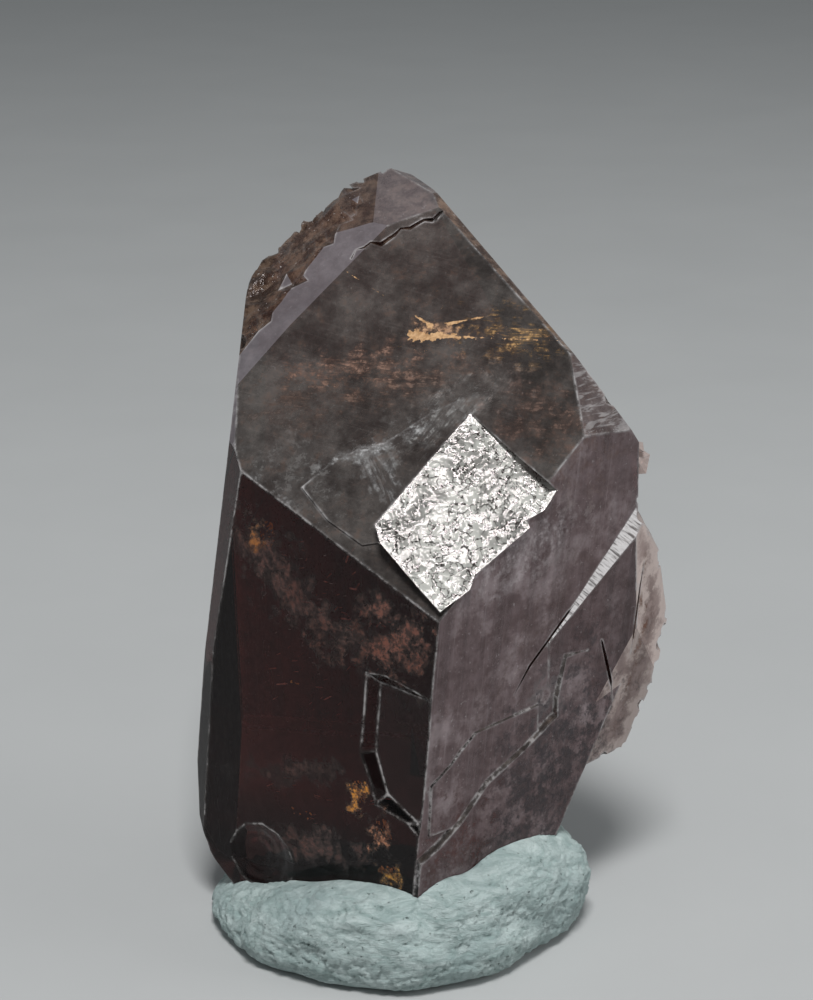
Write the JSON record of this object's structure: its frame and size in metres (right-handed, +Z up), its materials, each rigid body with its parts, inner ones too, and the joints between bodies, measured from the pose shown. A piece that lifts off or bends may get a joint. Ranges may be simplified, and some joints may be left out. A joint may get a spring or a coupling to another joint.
{
  "type": "axinite crystal",
  "caption": "Clove-brown axinite crystal with wedge-shaped edges and a crinkled bright plateau, standing upright in a kneaded lump of pale putty",
  "frame": {"origin": "middle of the whole object's box, at the table, level with the flat underside of the putty", "axes": "+Z up, along the crystal's long way; the two broad front faces and the bright plateau look towards -Y; +X to the right, towards the parallel crystal"},
  "size_m": [0.0234, 0.02, 0.0352],
  "materials": {
    "axinite": "clear clove brown, glossy faces with fine striations, crinkled and broken places",
    "tack_putty": "matte pale blue-green putty, kneaded, with fibrous streaks and small pits"
  },
  "bodies": {
    "root": {"crystal": "axinite", "mineral_tack": "tack_putty"}
  },
  "joints": []
}
